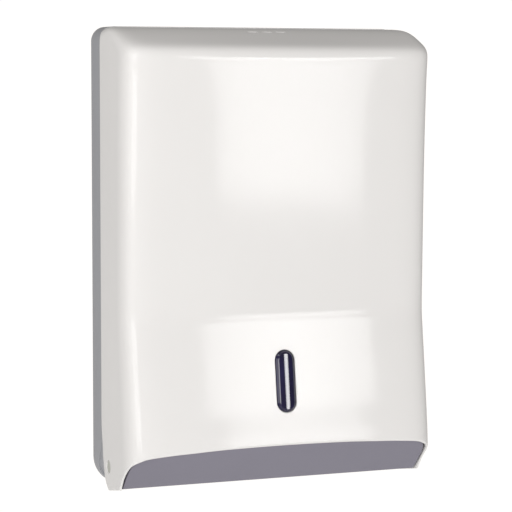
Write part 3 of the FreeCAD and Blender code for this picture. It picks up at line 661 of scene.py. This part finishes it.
def finish_sheet(sheet, edge_out, edge_in, edge_wall, hole_r):
    """Outer and inner skins of the sheet, joined at each loop by two rounded edges."""
    P_, N_ = np.array(sheet.p), np.array(sheet.n)
    F = sheet.f
    P_out, P_in = P_.copy(), P_.copy()
    thick = np.full((len(P_), 1), sheet.wall)
    thick[sheet.loops[-1], 0] = edge_wall
    # a neighbour inside the sheet tells which way is outward at a loop
    nbr = {}
    for f in F:
        for k in f:
            nbr.setdefault(k, []).append(P_[f].mean(0))
    bands = []
    for li, loop in enumerate(sheet.loops):
        p = P_[loop]
        big = loop is sheet.loops[-1]
        ro = np.array(edge_out if big else [hole_r[li]] * len(loop), float)[:, None]
        ri = np.array(edge_in if big else [min(hole_r[li], 0.5)] * len(loop), float)[:, None]
        tan = np.roll(p, -1, 0) - np.roll(p, 1, 0)
        tan /= np.linalg.norm(tan, axis=1)[:, None]
        t_ = np.cross(tan, N_[loop])
        t_ /= np.linalg.norm(t_, axis=1)[:, None]
        inn = np.array([np.mean(nbr[k], axis=0) for k in loop])
        sg = np.sign(((p - inn) * t_).sum(1))
        sg = np.sign(sg.sum()) or 1.0
        t_ = t_ * sg
        P_out[loop] = p - t_ * ro
        P_in[loop] = p - t_ * ri
        bands.append((loop, t_, ro, ri))
    m = Mesh()
    outer = m.add(P_out, N_)
    inner = m.add(P_in - N_ * thick, -N_)
    for f in F:
        m.f.append([outer[k] for k in f])
        m.f.append([inner[k] for k in f[::-1]])
    K = 5
    for loop, t_, ro, ri in bands:
        n_ = N_[loop]
        prev = [outer[k] for k in loop]
        co = P_out[loop] - n_ * ro
        for k in range(1, K + 1):
            a_ = math.pi / 2 * k / K
            nn = n_ * math.cos(a_) + t_ * math.sin(a_)
            cur = m.add(co + ro * nn, nn)
            m.quads(prev, cur, closed=True)
            prev = cur
        ci = P_in[loop] - n_ * (thick[loop] - ri)
        for k in range(0, K):
            a_ = math.pi / 2 * k / K
            nn = t_ * math.cos(a_) - n_ * math.sin(a_)
            cur = m.add(ci + ri * nn, nn)
            m.quads(prev, cur, closed=True)
            prev = cur
        m.quads(prev, [inner[k] for k in loop], closed=True)
    return m


def blend(v, stops):
    return float(np.interp(v, [q[0] for q in stops], [q[1] for q in stops]))


# the lip is rounded most, the ears less, the rear rim least
r_out, w_edge = [], []
for k in perimeter:
    x_, d_, z_ = sh.p[k]
    # the wall thins towards the ears' front edges
    w_edge.append(blend(z_, [(-3.0, COVER_T), (1.0, 1.9), (24.0, 1.9), (32.0, COVER_T)]) if d_ > 80.0 else COVER_T)
    if z_ > 49.5:
        r_out.append(0.9)
    elif abs(x_) > COVER_W - 0.01 and d_ < 88.0:
        r_out.append(blend(d_, [(30.0, 0.9), (50.0, 1.2), (80.0, 1.1)]))
    else:
        r_out.append(blend(z_, [(4.0, 1.0), (16.0, 1.1), (28.0, 1.5), (33.0, 1.9)]))
cov_mesh = finish_sheet(sh, r_out, [0.5] * len(perimeter), w_edge, [0.7, 0.45, 0.45, 0.45, 0.5, 0.5])
cover = cov_mesh.build("cover_shell", M_COVER, "cover", ("front_cover",))


# ------------------------------------------------------------- level window
def lens():
    m = Mesh()
    hw, hh = WIN_W / 2, WIN_H / 2
    n = 120
    # outline of the pill by arc length
    core = hh - hw
    per = 4 * core + 2 * math.pi * hw
    out_ = []
    for k in range(n):
        s_ = per * k / n
        if s_ < 2 * core:
            out_.append((hw, -core + s_, 1, 0))
        elif s_ < 2 * core + math.pi * hw:
            a_ = (s_ - 2 * core) / hw
            out_.append((hw * math.cos(a_), core + hw * math.sin(a_), math.cos(a_), math.sin(a_)))
        elif s_ < 4 * core + math.pi * hw:
            out_.append((-hw, core - (s_ - 2 * core - math.pi * hw), -1, 0))
        else:
            a_ = math.pi + (s_ - 4 * core - math.pi * hw) / hw
            out_.append((hw * math.cos(a_), -core + hw * math.sin(a_), math.cos(a_), math.sin(a_)))
    mid = [(0.0, max(-core, min(core, y))) for x, y, a, b in out_]

    def surf_at(x, z):
        x, z = np.array(x), np.array(z)
        t0 = np.full(len(x), float(t_at_arc(arc_at_z(WIN_Z))))
        t_, u_ = invert(x, 2, z, t0, np.full(len(x), UMAX / 2) + 1e-3)
        return S(t_, u_)[:, 1]

    def ringpts(f, h):
        xs = [mx + (x - mx) * f for (x, y, a, b), (mx, my) in zip(out_, mid)]
        zs = [WIN_Z + my + (y - my) * f for (x, y, a, b), (mx, my) in zip(out_, mid)]
        d = surf_at(xs, zs)
        hs = h if hasattr(h, "__len__") else [h] * n
        return [(x, dd + hh_, z) for x, dd, z, hh_ in zip(xs, d, zs, hs)]

    def ease(v):
        v = np.clip(v, 0.0, 1.0)
        return v * v * (3 - 2 * v)

    tau = np.linspace(0, 1, 400)
    drop = np.r_[0, np.cumsum(ease((tau[1:] + tau[:-1]) / 2 / BEVEL_EASE))]
    drop /= drop[-1]

    def face_h(f):
        """Height of the face over the cover's surface: domed across, with a bevel all round."""
        b2 = np.array([q[3] for q in out_]) ** 2
        xr = np.array([q[0] for q in out_]) * f / hw
        f_in = BEVEL_IN + (BEVEL_IN_END - BEVEL_IN) * b2
        bev = 1.0 - np.interp((f - f_in) / (0.96 - f_in), tau, drop)
        rim = (1 - b2) + b2 * ease((0.96 - f) / 0.3)
        return -0.15 + BEVEL_RISE * bev + DOME * hw / 2 * (1 - xr ** 2) * rim

    prev = None
    prof = [(1.0, -4.6), (1.0, -1.0), (0.995, -0.7), (0.98, -0.4)]
    fs = list(np.linspace(0.96, 0.54, 29)) + [0.46, 0.38, 0.30, 0.22, 0.14, 0.07, 0.0]
    prof += [(float(f), face_h(f)) for f in fs]
    for f, h in prof:
        if f < 1e-6:
            h = float(np.max(h))
        cur = m.add(ringpts(f, h))
        if prev is not None:
            m.quads(prev, cur, closed=True)
        prev = cur
    # underside
    back = m.add(ringpts(0.0, -4.6))
    first = list(range(0, n))
    m.quads(first, back, closed=True)
    return m.build("window_lens", M_WINDOW, "cover", (), sharp=35.0)


lens_o = lens()


# ---------------------------------------------- the other pieces, refined copies
def refine(node, mat, body, bevel=0.35, seg=2, angle=32.0, dissolve=True, sharp=38.0, shown=None):
    """A copy of a CAD node with its flat faces merged and its sharp edges eased."""
    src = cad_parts[node]
    me = bpy.data.meshes.new(node + "_eased")
    bm = bmesh.new()
    bm.from_mesh(src.data)
    bmesh.ops.remove_doubles(bm, verts=bm.verts, dist=2e-6)
    bmesh.ops.dissolve_degenerate(bm, edges=bm.edges, dist=2e-6)
    if dissolve:
        bmesh.ops.dissolve_limit(bm, angle_limit=math.radians(0.6), verts=bm.verts, edges=bm.edges,
                                 delimit={"NORMAL"})
    bm.to_mesh(me)
    bm.free()
    for p in me.polygons:
        p.use_smooth = True
    me.set_sharp_from_angle(angle=math.radians(sharp))
    o = bpy.data.objects.new(node + "_eased", me)
    bpy.context.scene.collection.objects.link(o)
    me.materials.clear()
    me.materials.append(mat)
    if bevel > 0:
        b = o.modifiers.new("ease", "BEVEL")
        b.width = bevel / 1000.0
        b.segments = seg
        b.limit_method = "ANGLE"
        b.angle_limit = math.radians(angle)
        b.use_clamp_overlap = True
        b.harden_normals = True
        b.miter_outer = "MITER_ARC"
    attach(o, body)
    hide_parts(node)
    return o


refine("back_case", M_CASE, "case", 0.45)
refine("towel_tray", M_TRAY, "case", 0.35)
refine("towel_guide_left", M_GUIDE, "case", 0.3)
refine("towel_guide_right", M_GUIDE, "case", 0.3)
refine("latch_catch", M_CATCH, "case", 0.2)
refine("hinge_pin_left", M_PIN, "case", 0.4)
refine("hinge_pin_right", M_PIN, "case", 0.4)
refine("hinge_washers", M_WASHER, "case", 0.12)
refine("lock_housing", M_LOCK, "cover", 0.2)
refine("lock_base", M_LOCK, "cover", 0.2)
refine("window_retainer", M_RETAINER, "cover", 0.2)
refine("latch_slider", M_LATCH, "latch", 0.2)
for n_, b_, m_ in (("tray_screws", "case", M_STEEL), ("catch_screws", "case", M_STEEL), ("guide_screws", "case", M_STEEL),
                   ("retainer_screws", "cover", M_STEEL), ("lock_screws", "cover", M_STEEL)):
    refine(n_, m_, b_, 0.08)


def helix():
    m = Mesh()
    z0, z1, R, w = 373.1, 388.2, 3.9, 0.45
    turns, per, ns = 5.0, 40, 10
    n = int(turns * per)
    rise = (z1 - z0 - 2 * w)
    prev, first = None, None
    for k in range(n + 1):
        f = k / n
        # closed end coils: the pitch is smaller at both ends
        g = f + 0.055 * math.sin(2 * math.pi * f) * -1.0
        a_ = 2 * math.pi * turns * f
        c = (R * math.cos(a_), 66.0 - R * math.sin(a_), z0 + w + rise * g)
        rad = (math.cos(a_), -math.sin(a_), 0.0)
        cur = m.add([(c[0] + w * math.cos(b_) * rad[0], c[1] + w * math.cos(b_) * rad[1], c[2] + w * math.sin(b_))
                     for b_ in [2 * math.pi * q / ns for q in range(ns)]])
        if prev is not None:
            m.quads(prev, cur, closed=True)
        else:
            first = cur
        prev = cur
    m.f.append(first)
    m.f.append(prev[::-1])
    return m.build("fine_spring", M_SPRING, "latch", ("latch_spring",), sharp=60.0)


spring_o = helix()
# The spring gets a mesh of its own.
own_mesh(spring_o)
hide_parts("level_window")

# ------------------------------------------------------------------ stage
FLOOR_GLOW = 0.28
WORLD_Z = [(-1.0, 0.46), (-0.15, 0.46), (0.0, 0.31), (0.2, 0.26), (0.6, 0.32), (1.0, 0.44)]
WORLD_LOBES = [((-0.85, 0.50, 0.10), 0.1, 0.9, 0.02), ((0.97, -0.10, 0.10), 0.3, 0.95, -0.12)]
KEY_RAD, STRIP_RAD = 11.3, 6.5
floor_me = bpy.data.meshes.new("floor")
fb = bmesh.new()
bmesh.ops.create_circle(fb, cap_ends=True, cap_tris=False, segments=96, radius=1.4)
fb.to_mesh(floor_me)
fb.free()
floor = bpy.data.objects.new("floor", floor_me)
floor.location = (0, 0, -0.60)
bpy.context.scene.collection.objects.link(floor)
mf, ntf, bf = new_mat("floor_white")
nf = noise(ntf, 1.3, 2.0)
rf = ramp(ntf, nf.outputs["Fac"], [(0.3, (0.83, 0.83, 0.83)), (0.7, (0.86, 0.86, 0.86))])
ntf.links.new(rf.outputs["Color"], bf.inputs["Base Color"])
bf.inputs["Roughness"].default_value = 0.9
bf.inputs["Emission Color"].default_value = (1, 1, 1, 1)
bf.inputs["Emission Strength"].default_value = FLOOR_GLOW
floor_me.materials.append(mf)

# A dim studio with a white backdrop behind the object, brighter to the left and behind.
world = bpy.data.worlds.new("studio")
bpy.context.scene.world = world
world.use_nodes = True
wn = world.node_tree
bg = wn.nodes["Background"]
tc = wn.nodes.new("ShaderNodeTexCoord")
sep = wn.nodes.new("ShaderNodeSeparateXYZ")
wn.links.new(tc.outputs["Generated"], sep.inputs["Vector"])


def wmath(op, a_, b_=None):
    n = wn.nodes.new("ShaderNodeMath")
    n.operation = op
    for k, v in ((0, a_), (1, b_)):
        if v is None:
            continue
        if isinstance(v, (int, float)):
            n.inputs[k].default_value = v
        else:
            wn.links.new(v, n.inputs[k])
    return n.outputs[0]


def wlobe(direction, lo_, hi_, amount):
    """0 to amount, rising as a direction of view comes near to the given one."""
    v = Vector(direction).normalized()
    dp = wn.nodes.new("ShaderNodeVectorMath")
    dp.operation = "DOT_PRODUCT"
    dp.inputs[1].default_value = tuple(v)
    wn.links.new(tc.outputs["Generated"], dp.inputs[0])
    mr = wn.nodes.new("ShaderNodeMapRange")
    mr.interpolation_type = "SMOOTHSTEP"
    for nm_, v_ in (("From Min", lo_), ("From Max", hi_), ("To Min", 0.0), ("To Max", amount)):
        mr.inputs[nm_].default_value = v_
    wn.links.new(dp.outputs["Value"], mr.inputs["Value"])
    return mr.outputs["Result"]


wr = wn.nodes.new("ShaderNodeValToRGB")
wr.color_ramp.interpolation = "EASE"
el = wr.color_ramp.elements
el[0].position, el[0].color = 0.0, (WORLD_Z[0][1],) * 3 + (1,)
el[1].position, el[1].color = 1.0, (WORLD_Z[-1][1],) * 3 + (1,)
for p_, c_ in WORLD_Z[1:-1]:
    e_ = el.new((p_ + 1) / 2)
    e_.color = (c_, c_, c_, 1)
wn.links.new(wmath("MULTIPLY_ADD", sep.outputs["Z"], 0.5), wr.inputs["Fac"])
wr.inputs["Fac"].links[0].from_node.inputs[2].default_value = 0.5
tone = wr.outputs["Color"]
for v_, lo_, hi_, am_ in WORLD_LOBES:
    tone = wmath("ADD", tone, wlobe(v_, lo_, hi_, am_))
back_dir = (math.sin(0.366) * math.cos(0.09), math.cos(0.366) * math.cos(0.09), -math.sin(0.09))
tone = wmath("MAXIMUM", tone, wlobe(back_dir, 0.955, 0.980, 1.04))
warm = wn.nodes.new("ShaderNodeVectorMath")
warm.operation = "SCALE"
warm.inputs[0].default_value = (1.015, 0.993, 0.971)
wn.links.new(tone, warm.inputs["Scale"])
wn.links.new(warm.outputs["Vector"], bg.inputs["Color"])
bg.inputs["Strength"].default_value = 1.0


def area(name, az, el_, dist, w, h, power, target=(0.0, -0.11, 0.0), color=(1, 1, 1)):
    """Soft box seen from the target at azimuth az (right of -Y) and elevation el_."""
    L = bpy.data.lights.new(name, "AREA")
    L.shape = "RECTANGLE"
    L.size, L.size_y = w, h
    L.energy = power
    L.color = color
    o = bpy.data.objects.new(name, L)
    a_, e_ = math.radians(az), math.radians(el_)
    d = Vector((math.sin(a_) * math.cos(e_), -math.cos(a_) * math.cos(e_), math.sin(e_)))
    o.location = Vector(target) + d * dist
    o.rotation_mode = "QUATERNION"
    o.rotation_quaternion = d.to_track_quat("Z", "Y")
    bpy.context.scene.collection.objects.link(o)
    return o


def box_power(radiance, w, h):
    return radiance * math.pi * w * h


def soft_box(name, az0, az1, e0, e1, rad, dist=2.4):
    """Area light that fills a field of directions, with the given radiance, hidden from the camera."""
    w_ = 2 * dist * math.tan(math.radians((az1 - az0) / 2))
    h_ = 2 * dist * math.tan(math.radians((e1 - e0) / 2))
    o = area(name, (az0 + az1) / 2, (e0 + e1) / 2, dist, w_, h_, box_power(rad, w_, h_))
    o.visible_camera = False
    return o


# The key is brightest in its middle, so it is made of upright slices.
KEY_SLICES = [(15.7, 17.2, 0.72), (17.2, 19.0, 0.92), (19.0, 21.0, 1.00), (21.0, 23.0, 1.02), (23.0, 25.0, 1.00),
              (25.0, 27.0, 0.93), (27.0, 29.0, 0.75)]
MID_SLICES = [(16.2, 18.2, 0.62), (18.2, 20.6, 0.76), (20.6, 23.0, 0.88), (23.0, 25.5, 0.76), (25.5, 28.2, 0.62)]
TOP_SLICES = [(14.3, 15.7, 0.76), (15.7, 17.2, 0.90), (17.2, 19.3, 1.15), (19.3, 21.4, 1.30), (21.4, 23.5, 1.40),
              (23.5, 25.6, 1.28), (25.6, 27.4, 1.12), (27.4, 29.8, 0.92)]
for k_, (a0_, a1_, f_) in enumerate(KEY_SLICES):
    soft_box("key_%d" % k_, a0_, a1_, -5.1, -1.2, KEY_RAD * f_)
for k_, (a0_, a1_, f_) in enumerate(MID_SLICES):
    soft_box("key_mid_%d" % k_, a0_, a1_, -1.2, 2.0, KEY_RAD * f_)
for k_, (a0_, a1_, f_) in enumerate(TOP_SLICES):
    soft_box("key_top_%d" % k_, a0_, a1_, 2.0, 11.0, KEY_RAD * f_)
soft_box("key_foot", 17.1, 29.1, -6.0, -5.1, KEY_RAD * 0.15)
soft_box("strip_left", -60.0, -31.0, -4.5, 14.5, STRIP_RAD)
soft_box("strip_foot", -60.0, -31.0, -7.0, -4.5, STRIP_RAD * 0.25)
soft_box("strip_wide", -82.0, -60.0, -4.5, 14.5, STRIP_RAD * 0.27)
side_fill = area("side_fill", -64.0, 42.0, 0.73, 0.2, 0.2, box_power(2.7, 0.2, 0.2))
side_fill.visible_camera = False

# ------------------------------------------------------------------ camera
cam_d = bpy.data.cameras.new("camera")
cam = bpy.data.objects.new("camera", cam_d)
bpy.context.scene.collection.objects.link(cam)
az_, pit, rol = 0.366, 0.090, 0.002
fwd = Vector((math.sin(az_) * math.cos(pit), math.cos(az_) * math.cos(pit), -math.sin(pit)))
right = Vector((math.cos(az_), -math.sin(az_), 0.0))
up = right.cross(fwd)
r2 = right * math.cos(rol) + up * math.sin(rol)
u2 = -right * math.sin(rol) + up * math.cos(rol)
rot = Matrix((r2, u2, -fwd)).transposed()
cam.matrix_world = Matrix.Translation((-0.657021, -1.767615, 0.155738)) @ rot.to_4x4()
cam_d.sensor_width = 36.0
cam_d.lens = 142.17
cam_d.shift_x = -0.0093
cam_d.clip_start, cam_d.clip_end = 0.05, 60.0
bpy.context.scene.camera = cam

sc = bpy.context.scene
sc.view_settings.view_transform = "Standard"
sc.view_settings.look = "None"
sc.view_settings.exposure = 0.0
sc.view_settings.gamma = 1.0
